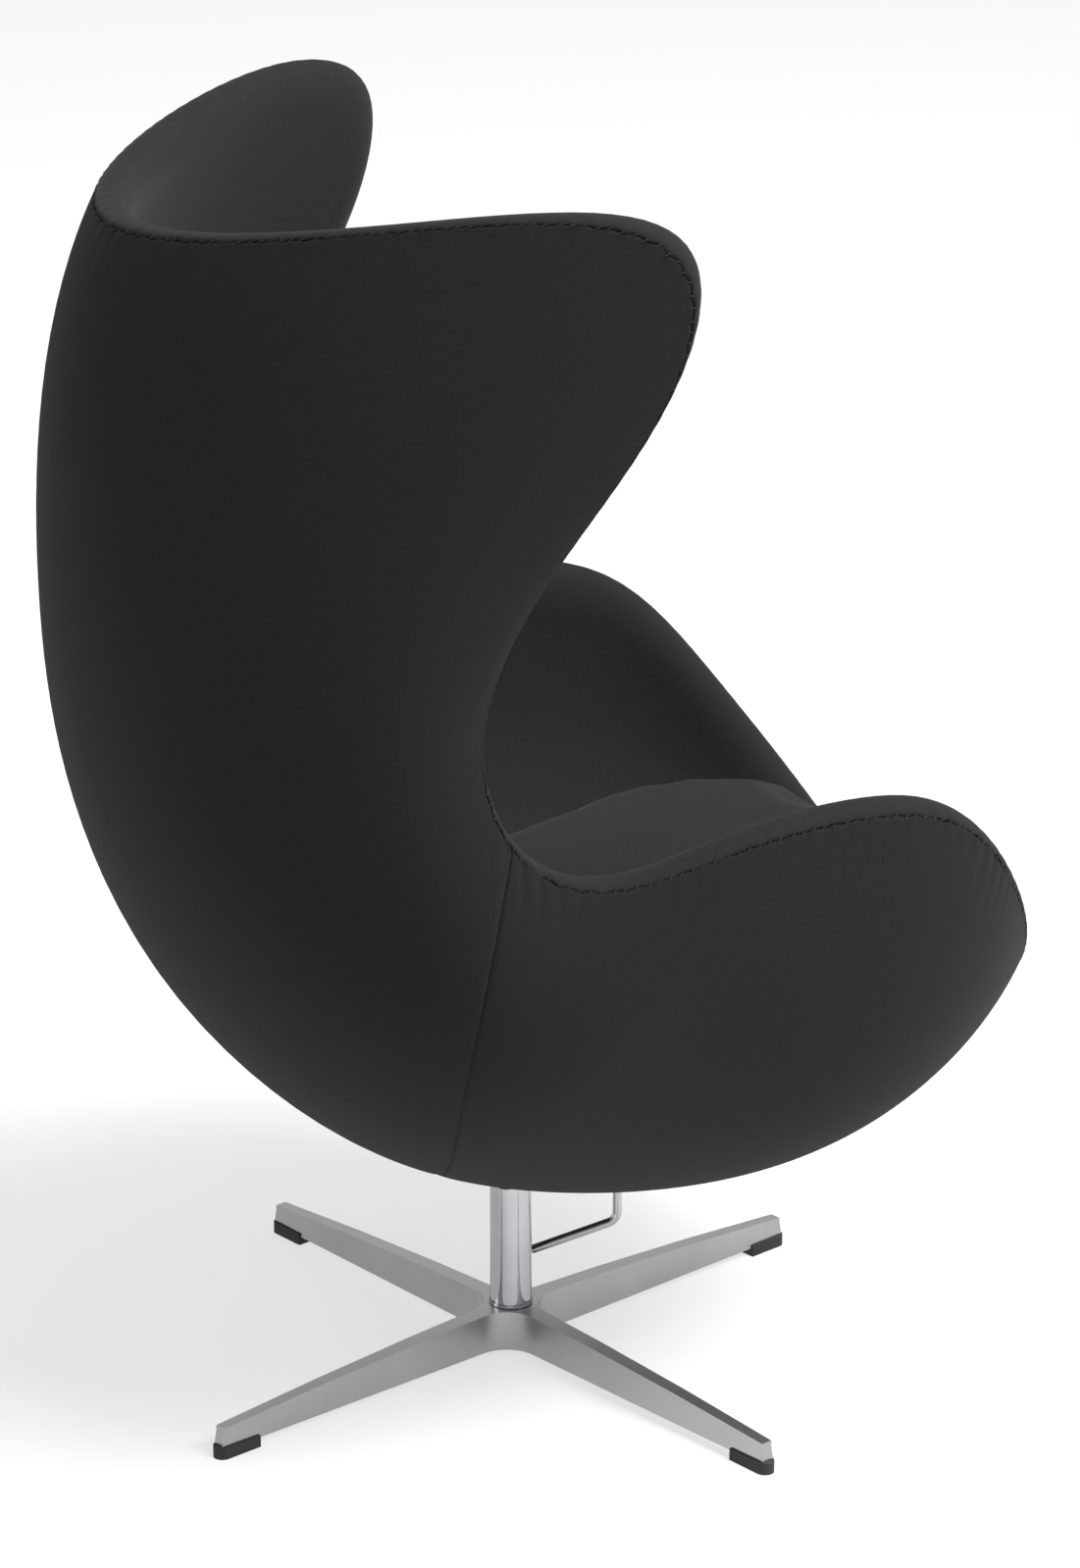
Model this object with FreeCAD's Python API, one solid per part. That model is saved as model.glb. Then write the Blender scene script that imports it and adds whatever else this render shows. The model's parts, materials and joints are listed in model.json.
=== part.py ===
import FreeCAD, Part
import math
import os

os.makedirs("parts", exist_ok=True)
V = FreeCAD.Vector

# All sizes in mm. Origin on the floor under the column, +Z up, the sitter looks along -Y.

# Driving dimensions
shell_width = 760.0
column_top_z = 156.0
base_radius = 322.0

# Upholstered shell: sections from the top edge of the back, round under the seat, to the front lip
# Each row: spine y, spine z, rim half width, rim y, rim z, belly half width, belly share of the depth
# They are measured with the column's top at 156 and a shell width of 760, and follow both sizes
SHELL_SECTIONS = [
    (330, 1035, 380, -160, 1145, 400, 0.69),
    (380, 875, 345, -25, 940, 385, 0.60),
    (385, 690, 320, 85, 805, 380, 0.56),
    (360, 525, 330, 150, 695, 395, 0.53),
    (295, 370, 360, 140, 610, 430, 0.45),
    (185, 255, 365, 65, 570, 435, 0.40),
    (40, 185, 370, -45, 590, 405, 0.44),
    (-125, 165, 360, -180, 605, 395, 0.42),
    (-275, 205, 330, -275, 595, 365, 0.41),
    (-410, 315, 275, -330, 575, 280, 0.42),
]
section_column_top = 156.0
section_width = 760.0
spine_handle = 0.56
corner_power = 5.0
shell_centre = 0.70
columns = 48
bend_weight = 60.0
rim_wall = 36.0
seat_foam = 75.0
foam_centre = 0.76
foam_reach_across = 0.80
foam_reach_along = 0.30
rim_roll = 14.0
cover_wall = 5.0
core_wall = 8.0
layer_gap = 0.3
rim_gap = 1.0
side_seam_y = 160.0
seam_top_z = column_top_z + 450.0
seam_gap = 0.4

# Seat cushion
cushion_centre = 0.765
cushion_across = 0.66
cushion_along = 0.25
cushion_front_q = 0.985
cushion_front_z = column_top_z + 260.0
cushion_slope = 0.15
cushion_crown = 26.0
cushion_edge_roll = 20.0
cushion_press = 3.0

# Star base
base_turn = 19.0
hub_top_z = 43.0
leg_tip_top_z = 27.0
leg_bottom_z = 8.0
leg_tip_width = 6.0
leg_root_width = 13.0
leg_draft = 3.0
tip_draft = 5.0
leg_root_radius = 74.0
hub_fillet = 30.0
lip_depth = 3.0
lip_proud = 0.8
arch_steps = 3
pocket_roof_z = 20.0
hub_bore_radius = 12.0
washer_radius = 16.0
bolt_recess = 6.0
casting_wall = 3.5
glide_length = 42.0
glide_width = 16.0
glide_height = 11.5

# Column and swivel
column_radius = 18.0
column_wall = 2.5
collar_height = 2.5
collar_radius = 19.0
spindle_radius = 9.0
swivel_clearance = 0.05
bearing_height = 5.0

# Tilt mechanism, in a recess moulded into the shell's underside
pin_y = -45.0
pin_z = column_top_z + 18.0
pin_radius = 5.0
rubber_radius = 8.0
tilt_back = 10.0
housing_half_width = 28.0
housing_wall = 4.0
housing_front_y = -116.0
housing_rear_y = 20.0
housing_top_z = column_top_z + 27.0
socket_radius = 14.0
socket_height = 14.0
plate_wall = 4.0
plate_under_z = column_top_z + 32.0
plate_half_width = 50.0
plate_front_y = -112.0
plate_rear_y = 42.0
recess_margin = 9.0
recess_wall = 5.0
recess_roof = 8.0
stop_pad = 3.0
ear_gap = 0.5
ear_wall = 5.0
bolt_radius = 4.0
bolt_x = 41.0
bolt_front_y = -98.0
bolt_rear_y = 28.0
insert_radius = 7.5
screw_y = -100.0
screw_radius = 5.0
thread_clearance = 0.7
nut_height = 7.0
head_height = 12.0
crank_socket = 8.0
crank_rod_radius = 4.0
crank_reach = 78.0
crank_bend_z = column_top_z - 54.0
crank_bend_radius = 12.0
crank_droop = 21.0
crank_turn = 22.5


def export(name, shape):
    shape.exportStep("parts/" + name + ".step")
    print(name, len(shape.Solids), "solids", round(shape.Volume), shape.isValid())


def spline(points):
    steps = [i / (len(points) - 1) for i in range(len(points))]
    curve = Part.BSplineCurve()
    curve.interpolate(Points=points, Parameters=steps)
    return curve


widen = shell_width / section_width
lift = column_top_z - section_column_top
spine_curve = spline([V(0, s[0], s[1] + lift) for s in SHELL_SECTIONS])
rim_curve = spline([V(s[2] * widen, s[3], s[4] + lift) for s in SHELL_SECTIONS])
belly_curve = spline([V(s[5] * widen, 100 * s[6], 0) for s in SHELL_SECTIONS])


def skin(p, q):
    """Point of the outer skin: p runs -1..1 from rim to rim, q 0..1 from top to front lip."""
    q = min(max(q, 0.0), 1.0)
    spine = spine_curve.value(q)
    rim = rim_curve.value(q)
    belly = belly_curve.value(q)
    reach = V(0, rim.y - spine.y, rim.z - spine.z)
    depth = reach.Length
    reach.normalize()
    t = abs(p)
    a = 3 * (1 - t) ** 2 * t
    b = 3 * (1 - t) * t ** 2
    c = t ** 3
    across = a * spine_handle * belly.x + b * belly.x + c * rim.x
    inward = b * belly.y / 100 * depth + c * depth
    point = spine + reach * inward
    return V(math.copysign(across, p), point.y, point.z)


def inward_normal(p, q):
    step = 0.002
    along_p = skin(p + step, q) - skin(p - step, q)
    along_q = skin(p, q + step) - skin(p, q - step)
    normal = along_q.cross(along_p)
    normal.normalize()
    return normal


def ring_place(angle, share):
    """The (p, q) place at a share of the way from the shell's centre out to its rim."""
    c, s = math.cos(angle), math.sin(angle)
    out = (abs(c) ** corner_power + abs(s) ** corner_power) ** (-1 / corner_power)
    edge_q = (out * s + 1) / 2
    return share * out * c, shell_centre + share * (edge_q - shell_centre)


def wall_at(p, q):
    """Thickness of shell and upholstery together; the seat area has the thick foam."""
    off = (p / foam_reach_across) ** 2 + ((q - foam_centre) / foam_reach_along) ** 2
    return rim_wall + seat_foam * max(0.0, 1 - off) ** 2


def layer_point(angle, share, depth):
    """A point at some depth under the outer skin; depth None means the inner skin."""
    p, q = ring_place(angle, share)
    if depth is None:
        depth = wall_at(p, q)
    return skin(p, q) + inward_normal(p, q) * depth


def column_angles():
    """Directions of the columns, crowded where the rim bends tightly."""
    fine = 720
    angles = [2 * math.pi * i / fine for i in range(fine)]
    rim = [layer_point(a, 1, 0) for a in angles]
    weights = []
    for i in range(fine):
        before = rim[i] - rim[i - 1]
        after = rim[(i + 1) % fine] - rim[i]
        weights.append(after.Length + bend_weight * before.getAngle(after))
    step = sum(weights) / columns
    chosen = []
    total = step / 2
    for angle, weight in zip(angles, weights):
        total += weight
        if total >= step:
            total -= step
            chosen.append(angle)
    return chosen[:columns]


def half_turn_mirror(angles):
    """The same directions on both sides, so the shell is symmetrical."""
    right = [a for a in angles if math.cos(a) > 1e-6]
    return sorted(right + [(math.pi - a) % (2 * math.pi) for a in right])


ANGLES = half_turn_mirror(column_angles())
RIM_SPEED = [(layer_point(a, 1, 0) - layer_point(a, 0.99, 0)).Length * 100 for a in ANGLES]


def ring(share=None, from_rim=None, depth=None):
    """One closed ring of points, placed by share of the way out or by distance from the rim."""
    points = []
    for angle, speed in zip(ANGLES, RIM_SPEED):
        place = share if from_rim is None else 1 - from_rim / speed
        points.append(layer_point(angle, place, depth))
    return points


def facets(rings, reverse=False):
    """Triangles between neighbouring rings, with the same diagonals on every layer of the shell."""
    faces = []
    for low, high in zip(rings, rings[1:]):
        for i in range(len(low)):
            j = (i + 1) % len(low)
            a, b, c, d = low[i], low[j], high[j], high[i]
            if ANGLES[i] + ANGLES[j] > math.pi and ANGLES[j] + ANGLES[i] < 3 * math.pi:
                corners = [(a, b, d), (b, c, d)]
            else:
                corners = [(a, b, c), (a, c, d)]
            for p, q, r in corners:
                if (p - q).cross(r - q).Length > 1e-3:
                    loop = [p, r, q, p] if reverse else [p, q, r, p]
                    faces.append(Part.Face(Part.makePolygon(loop)))
    return faces


def closed_solid(faces):
    shell = Part.Shell(faces)
    shell.sewShape()
    solid = Part.Solid(shell)
    if solid.Volume < 0:
        solid.reverse()
    return solid


INNER_SHARES = [0, 0.12, 0.26, 0.40, 0.54, 0.67, 0.79, 0.89]
near_rim = rim_roll + 24


def layer(outer_depth, inner_depth, end):
    """One layer of the shell between two depths, ending at a distance from the rim."""
    outer = [ring(share=s, depth=outer_depth) for s in INNER_SHARES]
    outer += [ring(from_rim=d, depth=outer_depth) for d in (near_rim, end)]
    inner = [ring(share=s, depth=inner_depth) for s in INNER_SHARES]
    inner += [ring(from_rim=d, depth=inner_depth) for d in (near_rim, end)]
    rim = [outer[-1], inner[-1]]
    return closed_solid(facets(outer) + facets(rim) + facets(inner, reverse=True))


def rounded_block(x0, x1, y0, y1, z0, z1, radius):
    block = Part.makeBox(x1 - x0, y1 - y0, z1 - z0, V(x0, y0, z0))
    uprights = [e for e in block.Edges if abs(e.tangentAt(e.FirstParameter).z) > 0.9]
    return block.makeFillet(radius, uprights)


def rod(radius, z0, z1, x=0.0, y=0.0):
    return Part.makeCylinder(radius, z1 - z0, V(x, y, z0))


def tube(outer, inner, z0, z1, x=0.0, y=0.0):
    return rod(outer, z0, z1, x, y).cut(rod(inner, z0 - 1, z1 + 1, x, y))


def cross_rod(radius, x0, x1, y, z):
    return Part.makeCylinder(radius, x1 - x0, V(x0, y, z), V(1, 0, 0))


def cross_tube(outer, inner, x0, x1, y, z):
    return cross_rod(outer, x0, x1, y, z).cut(cross_rod(inner, x0 - 1, x1 + 1, y, z))


def hexagon(radius, z0, height, x=0.0, y=0.0):
    corners = [V(x + radius * math.cos(math.radians(60 * i)), y + radius * math.sin(math.radians(60 * i)), z0)
               for i in range(7)]
    return Part.Face(Part.makePolygon(corners)).extrude(V(0, 0, height))


# Shell
core_outer = cover_wall + layer_gap
core_inner = core_outer + core_wall
lining_back = core_inner + layer_gap
roof_z = plate_under_z + plate_wall
below_shell_z = column_top_z - 56
insert_length = recess_roof - 0.5
BOLT_PLACES = [(x, y) for x in (-bolt_x, bolt_x) for y in (bolt_front_y, bolt_rear_y)]


def inner_lining():
    inner = [ring(share=s) for s in INNER_SHARES]
    inner.append(ring(from_rim=near_rim))
    inner.append(ring(from_rim=rim_roll))
    inner.append(ring(from_rim=rim_roll * 0.35))
    inner.append(ring(from_rim=0, depth=rim_wall * 0.80))
    inner.append(ring(from_rim=0, depth=rim_wall * 0.20))
    inner.append(ring(from_rim=rim_roll * 0.35, depth=0))
    inner.append(ring(from_rim=rim_roll, depth=0))
    back = [ring(share=s, depth=lining_back) for s in INNER_SHARES]
    back += [ring(from_rim=d, depth=lining_back) for d in (near_rim, rim_roll)]
    rim = [inner[-1], ring(from_rim=rim_roll, depth=cover_wall), back[-1]]
    body = closed_solid(facets(inner) + facets(rim) + facets(back, reverse=True))
    return body.cut(recess_prism(recess_wall + layer_gap, below_shell_z, roof_z + recess_roof + layer_gap))


def recess_prism(margin, z0, z1):
    grow = recess_margin + margin
    return rounded_block(-plate_half_width - grow, plate_half_width + grow,
                         plate_front_y - grow, plate_rear_y + grow, z0, z1, 14 + grow)


def moulded_shell():
    """Rigid core with a tray-shaped recess for the tilt mechanism and four pockets for inserts."""
    core = layer(core_outer, core_inner, rim_roll + rim_gap)
    tray = recess_prism(recess_wall, below_shell_z, roof_z + recess_roof)
    tray = tray.cut(recess_prism(0, below_shell_z - 10, roof_z))
    cover_space = layer(-1.0, core_outer, rim_roll)
    tray = max(tray.cut(cover_space).Solids, key=lambda s: s.BoundBox.ZMax)
    core = core.cut(recess_prism(0.5 * recess_wall, below_shell_z, roof_z)).fuse(tray).removeSplitter()
    for x, y in BOLT_PLACES:
        core = core.cut(hexagon(insert_radius, roof_z - 1, insert_length + 1, x, y))
    return core


def shell_inserts():
    """Hexagonal steel nuts, moulded into the roof of the recess."""
    nuts = []
    for x, y in BOLT_PLACES:
        nut = hexagon(insert_radius, roof_z, insert_length, x, y)
        nuts.append(nut.cut(rod(bolt_radius, roof_z - 1, roof_z + insert_length + 1, x, y)))
    return Part.makeCompound(nuts)


def outer_covers():
    cover = layer(0, cover_wall, rim_roll + rim_gap)
    cover = cover.cut(recess_prism(0, below_shell_z, roof_z + 40))
    half = seam_gap / 2
    ahead = Part.makeBox(1200, 800, seam_top_z - half, V(-600, side_seam_y - half - 800, 0))
    not_behind = Part.makeBox(1200, 800, seam_top_z + half, V(-600, side_seam_y + half - 800, 0))
    return cover.cut(not_behind), cover.common(ahead)


def cushion_under(angle, share):
    """A point of the cushion's underside, pressed a little into the bowl."""
    p = share * math.cos(angle) * cushion_across
    q = cushion_centre + share * math.sin(angle) * cushion_along
    return skin(p, q) + inward_normal(p, q) * (wall_at(p, q) - cushion_press)


def cushion_top_z(y, share):
    front_y = SHELL_SECTIONS[-1][0]
    return cushion_front_z - cushion_slope * (y - front_y) + cushion_crown * (1 - share ** 2)


def cushion_reach(angle):
    """How far out the cushion goes: to where the bowl's wall meets its edge, or to the lip."""
    ahead = math.sin(angle) * cushion_along
    far = (cushion_front_q - cushion_centre) / ahead if ahead > 0.14 else 1.6
    near = 0.3
    for _ in range(24):
        middle = (near + far) / 2
        point = cushion_under(angle, middle)
        if point.z < cushion_top_z(point.y, 1) - cushion_edge_roll - 6:
            near = middle
        else:
            far = middle
    return near


def seat_cushion(bowl):
    """Crowned cushion whose underside takes the form of the bowl that it lies in."""
    reach = [cushion_reach(a) for a in ANGLES]
    rings = [[cushion_under(a, s * r) for a, r in zip(ANGLES, reach)] for s in (0, 0.25, 0.5, 0.75, 0.92)]
    edge = [cushion_under(a, r) for a, r in zip(ANGLES, reach)]
    centre = cushion_under(0, 0)
    rings.append(edge)
    rings.append([V(e.x, e.y, cushion_top_z(e.y, 1) - cushion_edge_roll) for e in edge])
    for share in (0.97, 0.86, 0.6, 0.3, 0.0):
        top = [V(e.x * share, centre.y + (e.y - centre.y) * share, 0) for e in edge]
        rings.append([V(t.x, t.y, cushion_top_z(t.y, share)) for t in top])
    return max(closed_solid(facets(rings)).cut(bowl).Solids, key=lambda s: s.Volume)


# Star base
def star_outline(tip_radius, tip_half, root_half, z):
    """Closed outline of four tapered legs, with a tangent fillet between neighbours."""
    slope = (tip_half - root_half) / (tip_radius - leg_root_radius)
    side_at_zero = root_half - slope * leg_root_radius
    long = math.sqrt(1 + slope ** 2)
    centre = (hub_fillet * long + side_at_zero) / (1 - slope)
    touch_x = (centre + slope * (centre - side_at_zero)) / long ** 2
    touch_y = side_at_zero + slope * touch_x
    waist = centre - hub_fillet / math.sqrt(2)
    edges = []
    for k in range(4):
        turn = FreeCAD.Rotation(V(0, 0, 1), 90 * k)
        corners = [(touch_x, -touch_y), (tip_radius, -tip_half), (tip_radius, tip_half),
                   (touch_x, touch_y), (waist, waist), (touch_y, touch_x)]
        right_root, right_tip, left_tip, left_root, middle, next_root = [
            turn.multVec(V(x, y, z)) for x, y in corners]
        edges.append(Part.makeLine(right_root, right_tip))
        edges.append(Part.makeLine(right_tip, left_tip))
        edges.append(Part.makeLine(left_tip, left_root))
        edges.append(Part.Arc(left_root, middle, next_root).toShape())
    return Part.Wire(Part.__sortEdges__(edges))


def star_prism(inset, z0, z1):
    low = star_outline(base_radius, leg_tip_width / 2 + leg_draft - inset,
                       leg_root_width / 2 + leg_draft - inset, z0)
    high = star_outline(base_radius - tip_draft, leg_tip_width / 2 - inset, leg_root_width / 2 - inset, z1)
    return Part.makeLoft([low, high], True, True)


def arch_z(radius):
    """Height of the legs' top line: steeper towards the tip."""
    way = radius / base_radius
    return hub_top_z - (hub_top_z - leg_tip_top_z) * (0.44 * way + 0.56 * way ** 2)


def dome(drop, z0):
    """Turned solid under the arched top line of the legs."""
    radii = [base_radius * k / arch_steps for k in range(arch_steps + 1)]
    outline = [V(r, 0, arch_z(r) - drop) for r in radii] + [V(radii[-1], 0, z0), V(0, 0, z0)]
    return Part.Face(Part.makePolygon(outline + outline[:1])).revolve(V(0, 0, 0), V(0, 0, 1), 360)


def turned(shape):
    out = shape.copy()
    out.rotate(V(0, 0, 0), V(0, 0, 1), base_turn)
    return out


def base_casting():
    roof = hub_top_z + 2
    body = star_prism(0, leg_bottom_z, roof).common(dome(lip_depth, leg_bottom_z - 1))
    lip = star_prism(-lip_proud, leg_bottom_z, roof).common(dome(0, leg_bottom_z - 1))
    body = body.fuse(lip.cut(dome(lip_depth, leg_bottom_z - 2))).removeSplitter()
    pocket = star_prism(casting_wall, leg_bottom_z - 1, pocket_roof_z)
    pocket = pocket.cut(rod(hub_bore_radius + 9, 0, roof))
    reach = base_radius - glide_length + 2
    pocket = pocket.common(rod(reach, 0, roof))
    body = body.cut(pocket)
    body = body.cut(rod(hub_bore_radius, 0, roof))
    body = body.cut(rod(washer_radius + 1, 0, leg_bottom_z + bolt_recess))
    return turned(body)


def foot_glides():
    glides = []
    half = glide_width / 2
    outer = base_radius + 3.5
    inner = outer - glide_length
    leg = star_prism(0, leg_bottom_z, hub_top_z + 2)
    for k in range(4):
        boot = Part.makeBox(glide_length - half, glide_width, glide_height, V(inner, -half, 0))
        boot = boot.fuse(rod(half, 0, glide_height, outer - half, 0)).removeSplitter()
        top = [e for e in boot.Edges if e.BoundBox.ZMin > glide_height - 0.1]
        boot = boot.makeChamfer(1.2, top)
        boot.rotate(V(0, 0, 0), V(0, 0, 1), 90 * k)
        boot = boot.cut(leg)
        glides.append(turned(boot))
    return Part.makeCompound(glides)


# Column
collar_z = hub_top_z
tube_z = collar_z + collar_height


def swivel_column():
    """Chromed tube, welded to a turned foot whose spigot goes into the hub."""
    spigot = rod(hub_bore_radius, leg_bottom_z + bolt_recess, collar_z)
    flange = rod(collar_radius, collar_z, tube_z)
    pipe = tube(column_radius, column_radius - column_wall, tube_z, column_top_z)
    floor = rod(column_radius - column_wall, tube_z, tube_z + 12)
    return spigot.fuse([flange, pipe, floor]).cut(rod(5, 0, tube_z + 6)).removeSplitter()


def base_bolt():
    low = leg_bottom_z + bolt_recess - 8
    return hexagon(9, low, 6).fuse(rod(5, low, tube_z + 4)).removeSplitter()


def base_washer():
    top = leg_bottom_z + bolt_recess
    half = washer_radius * 0.7
    plate = Part.makeBox(2 * half, 2 * half, 2, V(-half, -half, top - 2))
    return plate.cut(rod(5.1, top - 3, top + 1))


bearing_z = column_top_z
housing_z = bearing_z + bearing_height
spindle_foot_z = tube_z + 18


def swivel_bushes():
    """Plastic bushes at the top and the foot of the tube; the clip bears on the lower one."""
    bore = spindle_radius + swivel_clearance
    wide = column_radius - column_wall
    upper = tube(wide, bore, column_top_z - 22, column_top_z)
    lower = tube(wide, bore, spindle_foot_z + 4.1, spindle_foot_z + 24)
    return Part.makeCompound([upper, lower])


def thrust_bearing():
    return tube(column_radius - 0.5, spindle_radius + 0.3, bearing_z, housing_z - 0.1)


def swivel_spindle():
    body = rod(spindle_radius, spindle_foot_z, housing_z + socket_height)
    groove = tube(spindle_radius + 1, spindle_radius - 1.2, spindle_foot_z + 2.5, spindle_foot_z + 4)
    return body.cut(groove)


def spindle_clip():
    ring_body = tube(spindle_radius + 2.5, spindle_radius - 1.2, spindle_foot_z + 2.5, spindle_foot_z + 4)
    return ring_body.cut(Part.makeBox(20, 6, 10, V(0, -3, spindle_foot_z)))


# Tilt mechanism
def under_tilted_plate(y, drop):
    """Height under the seat plate at full tilt, where the plate passes over y."""
    tilt = math.radians(tilt_back)
    rise = plate_under_z - pin_z
    along = (y - pin_y - rise * math.sin(tilt)) / math.cos(tilt)
    return pin_z + rise * math.cos(tilt) - along * math.sin(tilt) - drop


def side_profile(x0, x1, front, rear, low, top):
    """Block whose top slopes down behind the pin, under the fully tilted plate."""
    behind = min(under_tilted_plate(pin_y + 8, stop_pad), top)
    corners = [V(x0, front, low), V(x0, front, top), V(x0, pin_y - 8, top), V(x0, pin_y + 8, behind),
               V(x0, rear, under_tilted_plate(rear, stop_pad)), V(x0, rear, low)]
    return Part.Face(Part.makePolygon(corners + corners[:1])).extrude(V(x1 - x0, 0, 0))


def mechanism_housing():
    hw, w = housing_half_width, housing_wall
    box = side_profile(-hw, hw, housing_front_y, housing_rear_y, housing_z, housing_top_z)
    uprights = [e for e in box.Edges if e.BoundBox.XLength < 0.1 and e.BoundBox.YLength < 0.1]
    box = box.makeFillet(8, uprights)
    room = rounded_block(-hw + w, hw - w, housing_front_y + w, housing_rear_y - w,
                         housing_z + w, housing_top_z + 5, 5)
    box = box.cut(room)
    box = box.fuse(rod(socket_radius, housing_z, housing_z + socket_height)).removeSplitter()
    box = box.cut(rod(spindle_radius, housing_z - 1, housing_z + socket_height + 1))
    box = box.cut(cross_rod(pin_radius + 1.5, -hw - 1, -hw + w + 1, pin_y, pin_z))
    box = box.cut(cross_rod(pin_radius + 1.5, hw - w - 1, hw + 1, pin_y, pin_z))
    return box.cut(rod(screw_radius + 0.4, housing_z - 1, housing_z + w + 1, 0, screw_y))


def seat_plate():
    plate = rounded_block(-plate_half_width, plate_half_width, plate_front_y, plate_rear_y,
                          plate_under_z, roof_z, 14)
    for x, y in BOLT_PLACES:
        plate = plate.cut(rod(bolt_radius + 0.3, plate_under_z - 1, roof_z + 1, x, y))
    near = housing_half_width + ear_gap
    for x0 in (near, -near - ear_wall):
        ear = cross_rod(11, x0, x0 + ear_wall, pin_y, pin_z)
        web = Part.makeBox(ear_wall, 22, plate_under_z - pin_z + 1, V(x0, pin_y - 11, pin_z))
        plate = plate.fuse([ear, web])
        plate = plate.cut(cross_rod(pin_radius, x0 - 1, x0 + ear_wall + 1, pin_y, pin_z))
    return plate.removeSplitter()


def tilt_pivot_pin():
    end = housing_half_width + ear_gap + ear_wall
    pin = cross_rod(pin_radius, -end - 4, end + 2.5, pin_y, pin_z)
    head = cross_rod(pin_radius + 3, -end - 6, -end - 0.0, pin_y, pin_z)
    return pin.fuse(head).removeSplitter()


def pivot_bushes():
    hw, w = housing_half_width, housing_wall
    clear = swivel_clearance
    right = cross_tube(pin_radius + 1.5, pin_radius + clear, -hw, -hw + w, pin_y, pin_z)
    left = cross_tube(pin_radius + 1.5, pin_radius + clear, hw - w, hw, pin_y, pin_z)
    return Part.makeCompound([right, left])


def pivot_clip():
    end = housing_half_width + ear_gap + ear_wall
    return cross_tube(pin_radius + 3, pin_radius, end, end + 1.5, pin_y, pin_z)


fork_reach = housing_half_width - housing_wall - 3


def rubber_spring():
    reach = fork_reach - 4.5
    return cross_tube(rubber_radius, pin_radius, -reach, reach, pin_y, pin_z)


def screw_bore():
    return rod(screw_radius + thread_clearance, housing_z, pin_z + 4 + 2 * nut_height, 0, screw_y)


def tension_fork():
    """Two arms from eyes beside the rubber spring to the bridge that the nut pulls down."""
    parts = []
    for x0 in (-fork_reach, fork_reach - 4):
        arm = Part.makeBox(4, pin_y - screw_y, 8, V(x0, screw_y, pin_z - 4))
        eye = Part.makeBox(4, 16, 16, V(x0, pin_y - 8, pin_z - 8))
        bore = cross_rod(pin_radius + swivel_clearance, x0 - 1, x0 + 5, pin_y, pin_z)
        parts.append(arm.fuse(eye).cut(bore))
    bridge = Part.makeBox(2 * fork_reach, 18, 8, V(-fork_reach, screw_y - 9, pin_z - 4))
    fork = bridge.fuse(parts).removeSplitter()
    return fork.cut(screw_bore())


def tension_nut():
    nut = hexagon(9.5, pin_z + 4, nut_height, 0, screw_y)
    return nut.cut(screw_bore())


def tension_screw():
    head_low = housing_z - head_height
    body = rod(screw_radius, housing_z - 1.8, pin_z + 4 + nut_height + 2, 0, screw_y)
    head = hexagon(8.5, head_low, head_height - 1.8, 0, screw_y)
    socket = rod(crank_rod_radius, head_low - 1, head_low + crank_socket, 0, screw_y)
    return body.fuse(head).removeSplitter().cut(socket)


def screw_washer():
    return tube(9, screw_radius + 0.3, housing_z - 1.6, housing_z - 0.1, 0, screw_y)


def crank_lever():
    """Bent rod: down from the screw, then out and drooping, so that a hand can wind it."""
    droop = math.radians(crank_droop)
    sweep = 90 - crank_droop
    back = crank_bend_radius * math.tan(math.radians(sweep) / 2)
    top = V(0, 0, housing_z - head_height + crank_socket)
    start = V(0, 0, crank_bend_z + back)
    centre = V(0, crank_bend_radius, start.z)
    rings = []
    for k in range(6):
        turn = math.radians(sweep * k / 5)
        out = V(0, -math.cos(turn), -math.sin(turn))
        along = V(0, math.sin(turn), -math.cos(turn))
        circle = Part.makeCircle(crank_rod_radius, centre + out * crank_bend_radius, along)
        rings.append(Part.Wire(circle))
    ahead = V(0, math.cos(droop), -math.sin(droop))
    end = V(0, 0, crank_bend_z) + ahead * back
    reach = (crank_reach - crank_rod_radius) / math.cos(droop) - back
    stem = Part.makeCylinder(crank_rod_radius, top.z - start.z, start)
    bend = Part.makeLoft(rings, True, True)
    arm = Part.makeCylinder(crank_rod_radius, reach, end, ahead)
    tip = Part.makeCone(crank_rod_radius, crank_rod_radius - 1.5, 1.5, end + ahead * reach, ahead)
    bar = stem.fuse([bend, arm, tip]).removeSplitter()
    bar.rotate(V(0, 0, 0), V(0, 0, 1), -crank_turn)
    bar.translate(V(0, screw_y, 0))
    return bar


def stop_pads():
    """Four pads: two ahead hold the plate at rest, two behind stop it at full tilt."""
    pads = []
    w = housing_wall
    for x0 in (-housing_half_width, housing_half_width - w):
        ahead_y = housing_front_y + 12
        pads.append(Part.makeBox(w, 18, plate_under_z - layer_gap - housing_top_z,
                                 V(x0, ahead_y, housing_top_z)))
        y0, y1 = housing_rear_y - 26, housing_rear_y - 8
        corners = [V(x0, y0, under_tilted_plate(y0, stop_pad)), V(x0, y1, under_tilted_plate(y1, stop_pad)),
                   V(x0, y1, under_tilted_plate(y1, layer_gap)), V(x0, y0, under_tilted_plate(y0, layer_gap))]
        pads.append(Part.Face(Part.makePolygon(corners + corners[:1])).extrude(V(w, 0, 0)))
    return Part.makeCompound(pads)


def shell_bolts():
    bolts = []
    for x, y in BOLT_PLACES:
        shank = rod(bolt_radius, plate_under_z, roof_z + insert_length - 1, x, y)
        head = hexagon(7.5, plate_under_z - 4, 4, x, y)
        bolts.append(shank.fuse(head).removeSplitter())
    return Part.makeCompound(bolts)


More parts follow.
